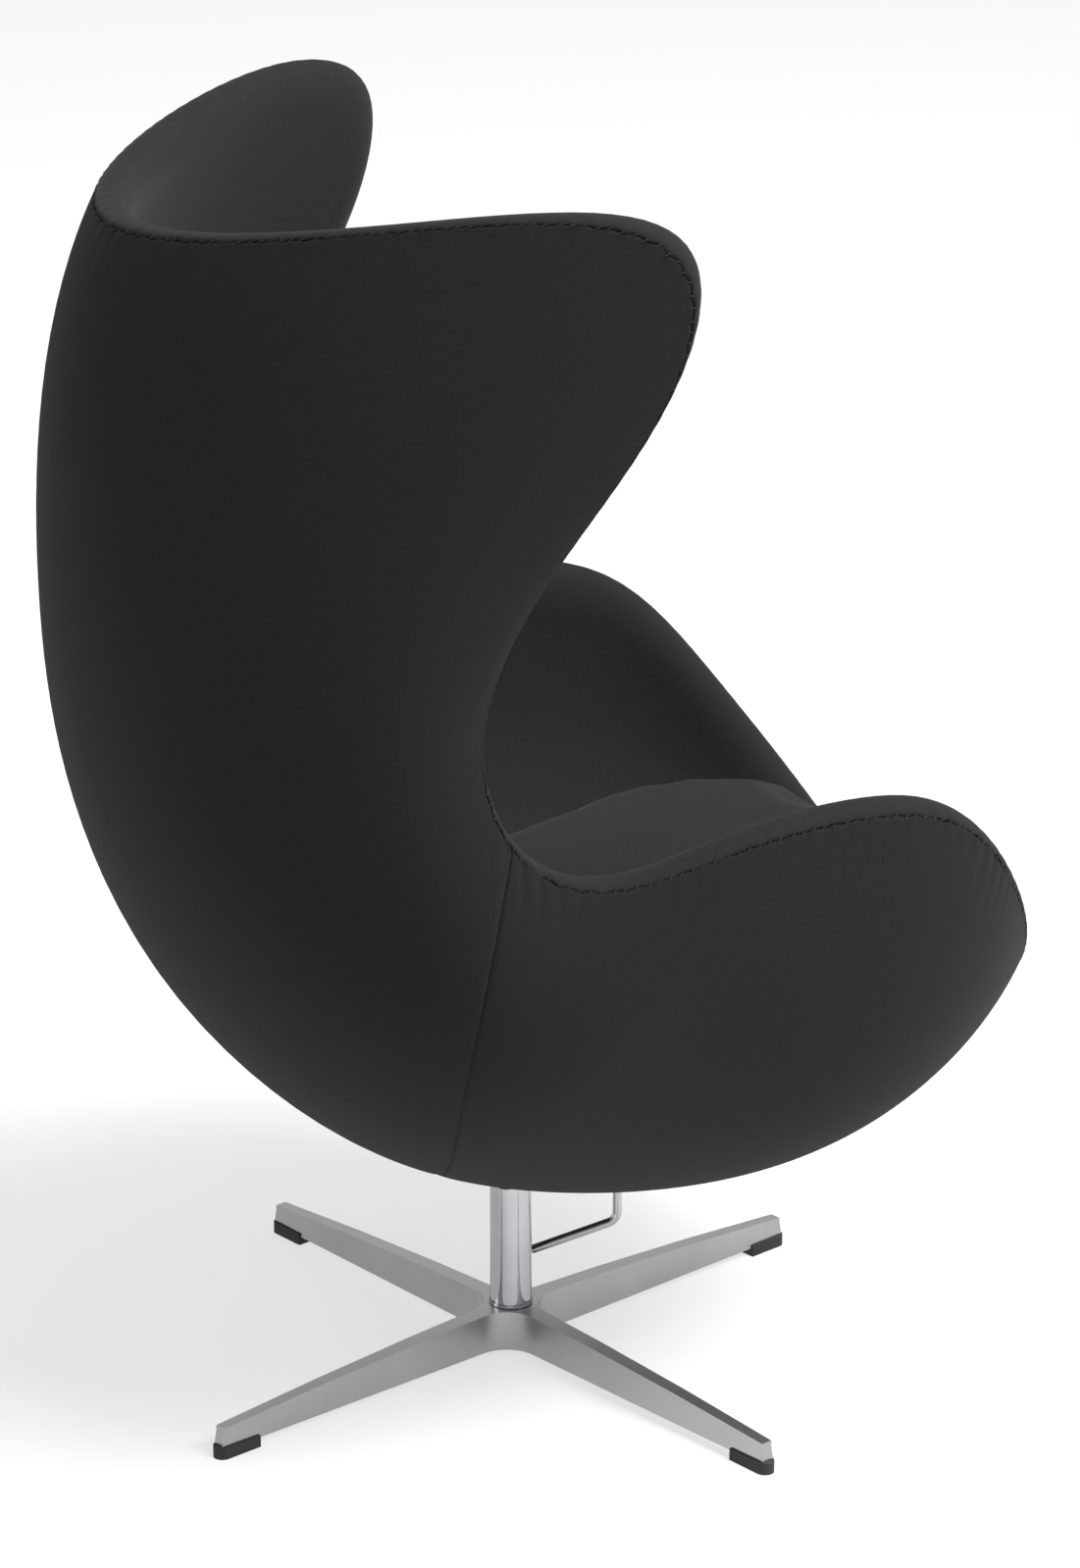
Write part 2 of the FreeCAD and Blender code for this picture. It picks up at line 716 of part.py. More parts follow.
lining = inner_lining()
export("inner_lining", lining)
export("moulded_shell", moulded_shell())
export("shell_inserts", shell_inserts())
back_cover, front_cover = outer_covers()
export("outer_back_cover", back_cover)
export("outer_front_cover", front_cover)
export("seat_cushion", seat_cushion(lining))
export("base_casting", base_casting())
export("foot_glides", foot_glides())
export("swivel_column", swivel_column())
export("base_bolt", base_bolt())
export("base_washer", base_washer())
export("swivel_bushes", swivel_bushes())
export("thrust_bearing", thrust_bearing())
export("swivel_spindle", swivel_spindle())
export("spindle_clip", spindle_clip())
export("mechanism_housing", mechanism_housing())
export("seat_plate", seat_plate())
export("tilt_pivot_pin", tilt_pivot_pin())
export("pivot_bushes", pivot_bushes())
export("pivot_clip", pivot_clip())
export("rubber_spring", rubber_spring())
export("tension_fork", tension_fork())
export("tension_nut", tension_nut())
export("tension_screw", tension_screw())
export("screw_washer", screw_washer())
export("crank_lever", crank_lever())
export("stop_pads", stop_pads())
export("shell_bolts", shell_bolts())
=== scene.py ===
import bpy
import bmesh
import json
import math
import numpy as np
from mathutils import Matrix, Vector, noise


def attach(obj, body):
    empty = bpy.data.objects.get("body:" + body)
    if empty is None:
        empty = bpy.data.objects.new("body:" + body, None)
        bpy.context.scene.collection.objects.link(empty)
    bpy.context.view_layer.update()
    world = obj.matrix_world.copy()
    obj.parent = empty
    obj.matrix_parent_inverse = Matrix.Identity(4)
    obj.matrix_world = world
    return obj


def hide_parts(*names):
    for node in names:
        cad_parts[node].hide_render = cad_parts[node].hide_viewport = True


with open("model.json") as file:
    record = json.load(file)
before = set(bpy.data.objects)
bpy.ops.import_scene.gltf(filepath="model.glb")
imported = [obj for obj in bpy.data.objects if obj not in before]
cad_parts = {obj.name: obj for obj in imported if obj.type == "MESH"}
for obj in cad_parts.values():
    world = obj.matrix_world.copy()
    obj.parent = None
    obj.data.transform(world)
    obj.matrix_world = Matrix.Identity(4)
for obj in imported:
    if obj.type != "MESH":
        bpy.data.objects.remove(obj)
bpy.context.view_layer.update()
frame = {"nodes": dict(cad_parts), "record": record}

# Shapes are worked out in mm and scaled to metres as they become meshes
MM = 0.001

# Upholstered shell, as in the CAD source: sections from the top edge, under the seat, to the lip
# Each row: spine y, spine z, rim half width, rim y, rim z, belly half width, belly share of depth
SHELL_SECTIONS = np.array([
    (330, 1035, 380, -160, 1145, 400, 0.69),
    (380, 875, 345, -25, 940, 385, 0.60),
    (385, 690, 320, 85, 805, 380, 0.56),
    (360, 525, 330, 150, 695, 395, 0.53),
    (295, 370, 360, 140, 610, 430, 0.45),
    (185, 255, 365, 65, 570, 435, 0.40),
    (40, 185, 370, -45, 590, 405, 0.44),
    (-125, 165, 360, -180, 605, 395, 0.42),
    (-275, 205, 330, -275, 595, 365, 0.41),
    (-410, 315, 275, -330, 575, 280, 0.42),
])
SPINE_HANDLE = 0.56
CORNER_POWER = 5.0
SHELL_CENTRE = 0.70
RIM_WALL = 36.0
SEAT_FOAM = 75.0
FOAM_CENTRE = 0.76
FOAM_ACROSS = 0.80
FOAM_ALONG = 0.30
NORMAL_STEP = 0.002

# Mesh columns run from the shell's centre to its rim, and are finer near the rim
COARSE_COLUMNS = 280
FINE_PER_COARSE = 5
FINE_COLUMNS = COARSE_COLUMNS * FINE_PER_COARSE
TRIAL_COLUMNS = 7200
CROWD_AT_BENDS = 40
RIM_PROBES = 100
CENTRE_WELD = 1e-6

# Rings of the mesh, by their distance from the rim, and of the lining's roll over it, in degrees
COVER_INNER_RINGS = 46
COVER_INNER_EDGE = 70
COVER_RIM_RINGS = (58, 49, 41, 34, 28.5, 24, 20.5, 18, 16.4, 15.2)
LINING_INNER_RINGS = 44
LINING_INNER_EDGE = 104
LINING_RIM_RINGS = (88, 74, 62, 51)
LINING_ROLL = (180, 168, 156, 144, 132, 120, 105, 90, 75, 62, 50, 39, 29, 20, 12, 5, 0)
LINING_FINE_ROLL = 75
INNER_ROLL = 42.0
CLOTH_FULLNESS = 1.25
CLOTH_LENGTH = 2150.0

# How strongly the rim bends, seen over a few columns and smoothed
BEND_SPAN = 3
BEND_WINDOW = 61
FULL_BEND = 0.012

# Whip-stitched seam below the rim: an arc from stitch to stitch, bitten in unevenly
SEAM_FROM_RIM = 14.0
SEAM_DEPTH = 2.0
SEAM_HALF_WIDTH = 1.2
SEAM_HALF_GAP = 0.15
SCALLOP_PITCH = 19.0
SCALLOP_SWING = 2.6
SCALLOP_STRAIGHT = 0.35
BITE_LEVEL = 0.75
BITE_SWING = 0.9
STITCH_PACE = 1.3
STITCH_SEED = 36.55

# Puckers below the seam, strongest where the rim bends
PUCKER_HEIGHT = 2.4
PUCKER_STRAIGHT = 0.12
PUCKER_LEVEL = 0.7
PUCKER_SWING = 1.1
PUCKER_START = 3
PUCKER_REACH = 15.0
PUCKER_REACH_SWING = 0.8
PUCKER_SHIFT = 1.5
PUCKER_PACE = 0.21
PUCKER_SEED = 21.93

# Stitches: short threads over the seam
STITCHES_PER_SCALLOP = 2
STITCH_ABOVE = 1.8
STITCH_BELOW = 2.2
STITCH_RISE = np.array([-0.3, 0.1, -0.3, 0.1, -0.3])
STITCH_POINTS = len(STITCH_RISE)
STITCH_SLANT = 0.25
STITCH_SLANT_COLUMNS = 2
THREAD_RADIUS = 0.4
THREAD_END = 0.6
THREAD_SIDES = 6

# Side seams between the two covers: a bend above and below the height where they run furthest back
SIDE_SEAM_Y = 176.0
SIDE_SEAM_Z = 432.0
SIDE_SEAM_BEND_ABOVE = 0.00105
SIDE_SEAM_BEND_BELOW = 0.00146
SIDE_SEAM_CUTS = (-6.0, -2.6, -1.0, 0.0, 1.0, 2.6, 6.0)
SIDE_SEAM_NEAR = 30
SIDE_SEAM_DEPTH = 1.4
SIDE_SEAM_REACH = 9
SIDE_SEAM_HALF_WIDTH = 0.9
SIDE_SEAM_DIP = 0.3
SIDE_SEAM_DIP_WIDTH = 5.0
SHELL_MIDDLE = Vector((0, 0, 0.6))

# Recess under the seat for the tilt mechanism, as in the CAD source
RECESS_MARGIN = 9.0
RECESS_HALF_WIDTH = 50.0 + RECESS_MARGIN
RECESS_FRONT = -112.0 - RECESS_MARGIN
RECESS_REAR = 42.0 + RECESS_MARGIN
RECESS_CORNER = 14.0 + RECESS_MARGIN
RECESS_TOP = 230.0
RECESS_NEAR = 16
RECESS_TURN_IN = 6
RECESS_CORNER_STEPS = 6
RECESS_SLACK = 1e-4
SHORTEST_CUT = 1e-6
CUT_WELD = 1e-7

# Cushion, as in the CAD source, but with a higher crown and its top swollen by the filling
CUSHION_CENTRE = 0.765
CUSHION_ACROSS = 0.66
CUSHION_ALONG = 0.25
CUSHION_FRONT_Q = 0.985
CUSHION_FRONT_Z = 416.0
CUSHION_SLOPE = 0.15
CUSHION_CROWN = 32.0
CUSHION_EDGE = 20.0
CUSHION_FOOT = 6
CUSHION_CLEAR = 1.0
CUSHION_SWELL = 24.0
CUSHION_DRAW_IN = 0.05
CUSHION_DRAW_FROM = 0.6
CUSHION_LIP_FROM = 0.14
CUSHION_NEAREST = 0.3
CUSHION_FARTHEST = 1.6
CUSHION_HALVINGS = 24
CUSHION_COLUMNS = 160
CUSHION_RINGS = 26
CUSHION_EDGE_RINGS = 5
CUSHION_WELD = 1e-5

# Filling of the cushion by a short cloth simulation, and its smoothing
PUFF_VOXEL = 6.0
PUFF_PRESSURE = 4.0
PUFF_FRAMES = 20
PUFF_QUALITY = 4
PUFF_CAP = 12.0
HOLD_FROM = 0.25
HOLD_BAND = 0.35
SMOOTH_FACTOR = 0.5
SMOOTH_ROUNDS = 24


# Shell surface
def end_slope(a, b, c, d, step):
    return (-11 * a + 18 * b - 9 * c + 2 * d) / (6 * step)


def spline_slopes(values):
    """Slopes of the cubic spline through evenly spaced values."""
    count = len(values)
    step = 1 / (count - 1)
    matrix = np.eye(count)
    right = np.zeros_like(values)
    right[0] = end_slope(*values[:4], step)
    right[-1] = -end_slope(*values[:-5:-1], step)
    for i in range(1, count - 1):
        matrix[i, i - 1:i + 2] = (1, 4, 1)
        right[i] = 3 * (values[i + 1] - values[i - 1]) / step
    return np.linalg.solve(matrix, right)


SECTION_SLOPES = spline_slopes(SHELL_SECTIONS)


def section(q):
    """The seven section values at each q, from the spline."""
    spans = len(SHELL_SECTIONS) - 1
    place = np.clip(q, 0, 1) * spans
    i = np.minimum(place.astype(int), spans - 1)
    t = (place - i)[..., None]
    a, b = SHELL_SECTIONS[i], SHELL_SECTIONS[i + 1]
    m, n = SECTION_SLOPES[i] / spans, SECTION_SLOPES[i + 1] / spans
    return ((2 * t ** 3 - 3 * t ** 2 + 1) * a + (t ** 3 - 2 * t ** 2 + t) * m
            + (3 * t ** 2 - 2 * t ** 3) * b + (t ** 3 - t ** 2) * n)


def skin(p, q):
    """Points of the outer skin: p -1..1 from rim to rim, q 0..1 from the top to the front lip."""
    s = section(q)
    reach_y, reach_z = s[..., 3] - s[..., 0], s[..., 4] - s[..., 1]
    t = np.abs(p)
    a, b, c = 3 * (1 - t) ** 2 * t, 3 * (1 - t) * t ** 2, t ** 3
    across = a * SPINE_HANDLE * s[..., 5] + b * s[..., 5] + c * s[..., 2]
    inward = b * s[..., 6] + c
    return np.stack([np.copysign(across, p), s[..., 0] + reach_y * inward,
                     s[..., 1] + reach_z * inward], -1)


def inward_normal(p, q):
    along_p = skin(p + NORMAL_STEP, q) - skin(p - NORMAL_STEP, q)
    along_q = skin(p, q + NORMAL_STEP) - skin(p, q - NORMAL_STEP)
    normal = np.cross(along_q, along_p)
    return normal / np.linalg.norm(normal, axis=-1, keepdims=True)


def ring_place(angle, share):
    """The (p, q) place at a share of the way from the shell's centre out to its rim."""
    c, s = np.cos(angle), np.sin(angle)
    out = (np.abs(c) ** CORNER_POWER + np.abs(s) ** CORNER_POWER) ** (-1 / CORNER_POWER)
    edge_q = (out * s + 1) / 2
    return share * out * c, SHELL_CENTRE + share * (edge_q - SHELL_CENTRE)


def wall_at(p, q):
    """Thickness of the padded wall, thickest under the sitter."""
    off = (p / FOAM_ACROSS) ** 2 + ((q - FOAM_CENTRE) / FOAM_ALONG) ** 2
    return RIM_WALL + SEAT_FOAM * np.maximum(0.0, 1 - off) ** 2


def even_columns(count):
    """Directions of the columns, crowded where the rim bends."""
    angles = np.linspace(0, 2 * math.pi, TRIAL_COLUMNS, endpoint=False)
    rim = skin(*ring_place(angles, np.ones(TRIAL_COLUMNS)))
    after = np.roll(rim, -1, 0) - rim
    before = rim - np.roll(rim, 1, 0)
    length = np.linalg.norm(after, axis=1)
    cosine = (after * before).sum(1) / length / np.linalg.norm(before, axis=1)
    weight = length + CROWD_AT_BENDS * np.arccos(np.clip(cosine, -1, 1))
    total = np.concatenate([[0], np.cumsum(weight)])
    return np.interp(np.linspace(0, total[-1], count, endpoint=False), total,
                     np.append(angles, 2 * math.pi))


ANGLES = even_columns(FINE_COLUMNS)
RIM_POINTS = skin(*ring_place(ANGLES, np.ones(FINE_COLUMNS)))
RIM_STEPS = np.linalg.norm(np.roll(RIM_POINTS, -1, 0) - RIM_POINTS, axis=1)
RIM_LENGTH = RIM_STEPS.sum()
SCALLOPS = round(RIM_LENGTH / SCALLOP_PITCH)
ALONG_RIM = np.concatenate([[0], np.cumsum(RIM_STEPS)[:-1]]) / RIM_LENGTH
PHASE = ALONG_RIM * SCALLOPS


def rim_speed():
    """How many mm of skin the last unit of share would cover, at each column."""
    inside = skin(*ring_place(ANGLES, np.full(FINE_COLUMNS, 1 - 1 / RIM_PROBES)))
    return np.linalg.norm(RIM_POINTS - inside, axis=1) * RIM_PROBES


def rim_bend():
    """How strongly the rim curves at each column, 0 to 1."""
    gap = FINE_PER_COARSE * BEND_SPAN
    before = RIM_POINTS - np.roll(RIM_POINTS, gap, 0)
    after = np.roll(RIM_POINTS, -gap, 0) - RIM_POINTS
    before /= np.linalg.norm(before, axis=1, keepdims=True)
    after /= np.linalg.norm(after, axis=1, keepdims=True)
    turn = np.arccos(np.clip((before * after).sum(1), -1, 1))
    bend = turn / (gap * RIM_LENGTH / FINE_COLUMNS)
    half = BEND_WINDOW // 2
    window = np.ones(BEND_WINDOW) / BEND_WINDOW
    bend = np.convolve(np.concatenate([bend[-half:], bend, bend[:half]]), window, "valid")
    return np.clip(bend / FULL_BEND, 0, 1)


def rim_noise(pace, seed):
    """Smooth noise along the rim, the same in each run; pace is how far it moves per scallop."""
    return np.array([noise.noise(Vector((turn * pace, 0.0, seed))) for turn in PHASE])


RIM_SPEED = rim_speed()
BEND = rim_bend()
PUCKER_NOISE = rim_noise(PUCKER_PACE, PUCKER_SEED)
STITCH_NOISE = rim_noise(STITCH_PACE, STITCH_SEED)


def with_bend(straight):
    """A strength at each column: its value on a straight rim, and 1 at a full bend."""
    return straight + (1 - straight) * BEND


ARC = np.abs(np.sin(math.pi * PHASE)) - 0.5
SEAM_LINE = SEAM_FROM_RIM - SCALLOP_SWING * with_bend(SCALLOP_STRAIGHT) * ARC


def seam_wave(from_rim):
    """Depth of the whip-stitched seam and of the puckers below it, for one ring of columns."""
    bite = BITE_LEVEL + BITE_SWING * STITCH_NOISE
    groove = SEAM_DEPTH * bite * np.exp(-((from_rim - SEAM_LINE) / SEAM_HALF_WIDTH) ** 2)
    below = np.maximum(0, from_rim - SEAM_LINE)
    reach = PUCKER_REACH * (1 + PUCKER_REACH_SWING * PUCKER_NOISE)
    fade = np.exp(-below / reach) * np.minimum(1, below / PUCKER_START)
    level = PUCKER_LEVEL + PUCKER_SWING * PUCKER_NOISE
    fold = 0.5 + 0.5 * np.cos(2 * math.pi * PHASE + PUCKER_SHIFT * PUCKER_NOISE)
    return groove + PUCKER_HEIGHT * with_bend(PUCKER_STRAIGHT) * level * fold ** 2 * fade


# Meshes through rings of points
def ring(place, depth=None, seam_at=None):
    """One ring of points; depth None is the inner skin, and seam_at draws in the stitched seam."""
    p, q = ring_place(ANGLES, place)
    deep = wall_at(p, q) if depth is None else np.broadcast_to(depth, FINE_COLUMNS)
    if seam_at is not None:
        deep = deep + seam_wave(seam_at)
    return skin(p, q) + inward_normal(p, q) * deep[:, None], p, q


def near_rim(from_rim):
    """The share at each column that lies at a distance from the rim."""
    return 1 - from_rim / RIM_SPEED


def inner_places(outermost, count):
    """Places from the shell's centre out to a ring at one distance from the rim."""
    return [share * near_rim(outermost) for share in np.linspace(0, 1, count)]


def cloth_uv(p, q):
    """Where the cloth lies before it is sewn, in metres: across the shell and along it."""
    s = section(q)
    return np.stack([p * s[..., 5] * CLOTH_FULLNESS, q * CLOTH_LENGTH], -1) * MM


def smooth_faces(mesh):
    mesh.polygons.foreach_set("use_smooth", [True] * len(mesh.polygons))


def new_piece(name, mesh):
    smooth_faces(mesh)
    mesh.update()
    piece = bpy.data.objects.new(name, mesh)
    bpy.context.collection.objects.link(piece)
    return piece


def mesh_from(name, verts, faces, uvs=None):
    mesh = bpy.data.meshes.new(name)
    mesh.from_pydata([tuple(v) for v in verts], [], faces)
    if uvs is not None:
        layer = mesh.uv_layers.new(name="cloth")
        loops = np.empty(len(mesh.loops), dtype=np.int32)
        mesh.loops.foreach_get("vertex_index", loops)
        layer.data.foreach_set("uv", np.asarray(uvs)[loops].astype(np.float32).ravel())
    return new_piece(name, mesh)


def ring_mesh(name, rings):
    """Mesh through rings of ((points, p, q), fine); a coarse ring uses one fine column in five."""
    verts, uvs, faces, starts = [], [], [], []
    for (points, p, q), fine in rings:
        step = 1 if fine else FINE_PER_COARSE
        starts.append((len(verts), fine))
        verts.extend(points[::step] * MM)
        uvs.extend(cloth_uv(p, q)[::step])
    for (low, low_fine), (high, high_fine) in zip(starts, starts[1:]):
        for i in range(COARSE_COLUMNS):
            j = (i + 1) % COARSE_COLUMNS
            row = [(i * FINE_PER_COARSE + k) % FINE_COLUMNS for k in range(FINE_PER_COARSE + 1)]
            below = [low + k for k in row] if low_fine else [low + i, low + j]
            above = [high + k for k in row] if high_fine else [high + i, high + j]
            if low_fine and high_fine:
                for k in range(FINE_PER_COARSE):
                    faces.append((below[k], below[k + 1], above[k + 1], above[k]))
            else:
                faces.append(tuple(below + above[::-1]))
    piece = mesh_from(name, verts, faces, uvs)
    bm = bmesh.new()
    bm.from_mesh(piece.data)
    bmesh.ops.remove_doubles(bm, verts=bm.verts[:COARSE_COLUMNS], dist=CENTRE_WELD)
    bm.to_mesh(piece.data)
    bm.free()
    return piece


# Outer covers, cut at the side seams and at the recess for the tilt mechanism
def cut_faces(bm, chosen, point, normal):
    """Cuts the chosen faces with a plane, so that an edge runs along it."""
    geometry = set(chosen)
    for face in chosen:
        geometry.update(face.edges)
        geometry.update(face.verts)
    bmesh.ops.bisect_plane(bm, geom=list(geometry), dist=CUT_WELD, plane_co=point,
                           plane_no=normal)


def recess_outline():
    """Rounded rectangle round the tilt mechanism, counter-clockwise."""
    corners = [(RECESS_HALF_WIDTH, RECESS_REAR, 0), (-RECESS_HALF_WIDTH, RECESS_REAR, 90),
               (-RECESS_HALF_WIDTH, RECESS_FRONT, 180), (RECESS_HALF_WIDTH, RECESS_FRONT, 270)]
    points = []
    for x, y, start in corners:
        cx = x - math.copysign(RECESS_CORNER, x)
        cy = y - math.copysign(RECESS_CORNER, y - (RECESS_FRONT + RECESS_REAR) / 2)
        for k in range(RECESS_CORNER_STEPS + 1):
            turn = math.radians(start + 90 / RECESS_CORNER_STEPS * k)
            points.append((cx + RECESS_CORNER * math.cos(turn),
                           cy + RECESS_CORNER * math.sin(turn)))
    return points


def recess_near(point):
    x, y, z = point / MM
    beside = abs(x) < RECESS_HALF_WIDTH + RECESS_NEAR
    return beside and RECESS_FRONT - RECESS_NEAR < y < RECESS_REAR + RECESS_NEAR and z < RECESS_TOP


def inside_recess(point, outline):
    if not recess_near(point):
        return False
    x, y = point.x / MM, point.y / MM
    return all((x1 - x0) * (y - y0) - (y1 - y0) * (x - x0) > -RECESS_SLACK
               for (x0, y0), (x1, y1) in zip(outline, outline[1:] + outline[:1]))


def cut_recess(bm):
    """Cuts the recess out of the cover and turns its edge in."""
    outline = recess_outline()
    for (x0, y0), (x1, y1) in zip(outline, outline[1:] + outline[:1]):
        near = [f for f in bm.faces if recess_near(f.calc_center_median())]
        if math.hypot(x1 - x0, y1 - y0) > SHORTEST_CUT:
            outward = Vector((y1 - y0, x0 - x1, 0)).normalized()
            cut_faces(bm, near, Vector((x0, y0, 0)) * MM, outward)
    inside = [f for f in bm.faces if inside_recess(f.calc_center_median(), outline)]
    bmesh.ops.delete(bm, geom=inside, context="FACES")
    rim = [e for e in bm.edges if e.is_boundary and recess_near(e.verts[0].co)]
    turned = bmesh.ops.extrude_edge_only(bm, edges=rim)["geom"]
    for v in turned:
        if isinstance(v, bmesh.types.BMVert):
            v.co.z += RECESS_TURN_IN * MM


def side_seam_y(z):
    """Where the side seam runs at a height."""
    bend = SIDE_SEAM_BEND_ABOVE if z > SIDE_SEAM_Z else SIDE_SEAM_BEND_BELOW
    return SIDE_SEAM_Y - bend * (z - SIDE_SEAM_Z) ** 2


def seam_side(point):
    """Distance behind the side seam: negative on the front cover."""
    return point.y / MM - side_seam_y(point.z / MM)


def cut_side_seams(bm):
    """Cuts along the curved seam: flat cuts while the cloth is shifted so that it runs straight."""
    for v in bm.verts:
        v.co.y -= side_seam_y(v.co.z / MM) * MM
    for offset in SIDE_SEAM_CUTS:
        near = [f for f in bm.faces if abs(f.calc_center_median().y) < SIDE_SEAM_NEAR * MM]
        cut_faces(bm, near, Vector((0, offset, 0)) * MM, Vector((0, 1, 0)))
    for v in bm.verts:
        v.co.y += side_seam_y(v.co.z / MM) * MM


def side_seam_groove(bm):
    """Draws the cloth in along the side seams: a sharp line in a shallow dip."""
    bm.normal_update()
    moves = []
    for v in bm.verts:
        off = abs(seam_side(v.co))
        if off < SIDE_SEAM_REACH:
            outward = v.normal if v.normal.dot(v.co - SHELL_MIDDLE) > 0 else -v.normal
            line = math.exp(-(off / SIDE_SEAM_HALF_WIDTH) ** 2)
            dip = SIDE_SEAM_DIP * math.exp(-(off / SIDE_SEAM_DIP_WIDTH) ** 2)
            moves.append((v, outward * -SIDE_SEAM_DEPTH * (line + dip) * MM))
    for v, move in moves:
        v.co += move


def outer_skin_rings():
    rings = [(ring(place, 0.0), False)
             for place in inner_places(COVER_INNER_EDGE, COVER_INNER_RINGS)]
    for away in (*COVER_RIM_RINGS, SEAM_LINE + SEAM_HALF_GAP):
        rings.append((ring(near_rim(away), 0.0, seam_at=away), True))
    return rings


def cover_pieces():
    """The two outer covers, from one skin that is cut along the side seams."""
    whole = ring_mesh("cover_source", outer_skin_rings())
    bm = bmesh.new()
    bm.from_mesh(whole.data)
    cut_side_seams(bm)
    side_seam_groove(bm)
    cut_recess(bm)
    pieces = []
    for name, keep in (("back_cover_fabric", 1), ("front_cover_fabric", -1)):
        half = bm.copy()
        drop = [f for f in half.faces if seam_side(f.calc_center_median()) * keep < 0]
        bmesh.ops.delete(half, geom=drop, context="FACES")
        mesh = bpy.data.meshes.new(name)
        half.to_mesh(mesh)
        half.free()
        pieces.append(new_piece(name, mesh))
    bm.free()
    bpy.data.objects.remove(whole)
    return pieces


# Lining and stitches
def lining_piece():
    """The padded lining, rolled over the rim down to the stitched seam."""
    rings = [(ring(place), False)
             for place in inner_places(LINING_INNER_EDGE, LINING_INNER_RINGS)]
    rings += [(ring(near_rim(away)), False) for away in LINING_RIM_RINGS]
    edge = SEAM_LINE - SEAM_HALF_GAP
    for turn in LINING_ROLL:
        roll = math.radians(turn)
        away = (edge if turn < 90 else INNER_ROLL) * (1 - math.sin(roll))
        place = near_rim(away)
        wall = wall_at(*ring_place(ANGLES, place))
        depth = wall * (1 - math.cos(roll)) / 2
        fine = turn <= LINING_FINE_ROLL
        rings.append((ring(place, depth, seam_at=away if fine else None), fine))
    return ring_mesh("lining_fabric", rings)


def stitch_path(number):
    """Points of one stitch over the seam, and the skin's normals there."""
    i = int(np.searchsorted(PHASE, number / STITCHES_PER_SCALLOP)) % FINE_COLUMNS
    j = (i + STITCH_SLANT_COLUMNS) % FINE_COLUMNS
    away = np.linspace(SEAM_LINE[i] - STITCH_ABOVE, SEAM_LINE[i] + STITCH_BELOW, STITCH_POINTS)
    p, q = ring_place(np.full(STITCH_POINTS, ANGLES[i]), 1 - away / RIM_SPEED[i])
    normals = inward_normal(p, q)
    slant = (RIM_POINTS[j] - RIM_POINTS[i]) * STITCH_SLANT
    sideways = np.linspace(-1, 1, STITCH_POINTS)[:, None] * slant
    return skin(p, q) - normals * STITCH_RISE[:, None] + sideways, normals


def rim_stitches():
    """Short threads that whip the lining to the cover, two to each scallop of the seam."""
    verts, faces = [], []
    last = STITCH_POINTS - 1
    for number in range(STITCHES_PER_SCALLOP * SCALLOPS):
        path, normals = stitch_path(number)
        start = len(verts)
        for n in range(STITCH_POINTS):
            along = path[min(n + 1, last)] - path[max(n - 1, 0)]
            along /= np.linalg.norm(along)
            side = np.cross(along, normals[n])
            radius = THREAD_RADIUS * (THREAD_END if n in (0, last) else 1.0)
            for m in range(THREAD_SIDES):
                turn = 2 * math.pi * m / THREAD_SIDES
                off = side * math.cos(turn) + normals[n] * math.sin(turn)
                verts.append((path[n] + off * radius) * MM)
        for n in range(last):
            first = start + n * THREAD_SIDES
            for m in range(THREAD_SIDES):
                a, b = first + m, first + (m + 1) % THREAD_SIDES
                faces.append((a, b, b + THREAD_SIDES, a + THREAD_SIDES))
        end = start + last * THREAD_SIDES
        faces.append(tuple(range(start, start + THREAD_SIDES))[::-1])
        faces.append(tuple(range(end, end + THREAD_SIDES)))
    return mesh_from("rim_stitches", verts, faces)


# Seat cushion, puffed up by a short cloth simulation
def cushion_under(angle, share):
    """Points of the cushion's underside, just clear of the lining."""
    p = share * np.cos(angle) * CUSHION_ACROSS
    q = CUSHION_CENTRE + share * np.sin(angle) * CUSHION_ALONG
    return skin(p, q) + inward_normal(p, q) * (wall_at(p, q) + CUSHION_CLEAR)[..., None]


def cushion_top_z(y, share=1):
    """Height of the cushion's top: sloped back, and crowned from its edge (share 1) inward."""
    sloped = CUSHION_FRONT_Z - CUSHION_SLOPE * (y - SHELL_SECTIONS[-1, 0])
    return sloped + CUSHION_CROWN * (1 - share ** 2)


def cushion_reach(angles):
    """How far out the cushion goes each way: to the bowl's wall, or to the lip in front."""
    ahead = np.sin(angles) * CUSHION_ALONG
    lip = (CUSHION_FRONT_Q - CUSHION_CENTRE) / np.maximum(ahead, CUSHION_LIP_FROM)
    far = np.where(ahead > CUSHION_LIP_FROM, lip, CUSHION_FARTHEST)
    near = np.full_like(far, CUSHION_NEAREST)
    for _ in range(CUSHION_HALVINGS):
        middle = (near + far) / 2
        point = cushion_under(angles, middle)
        inside = point[:, 2] < cushion_top_z(point[:, 1]) - CUSHION_EDGE - CUSHION_FOOT
        near = np.where(inside, middle, near)
        far = np.where(inside, far, middle)
    return near


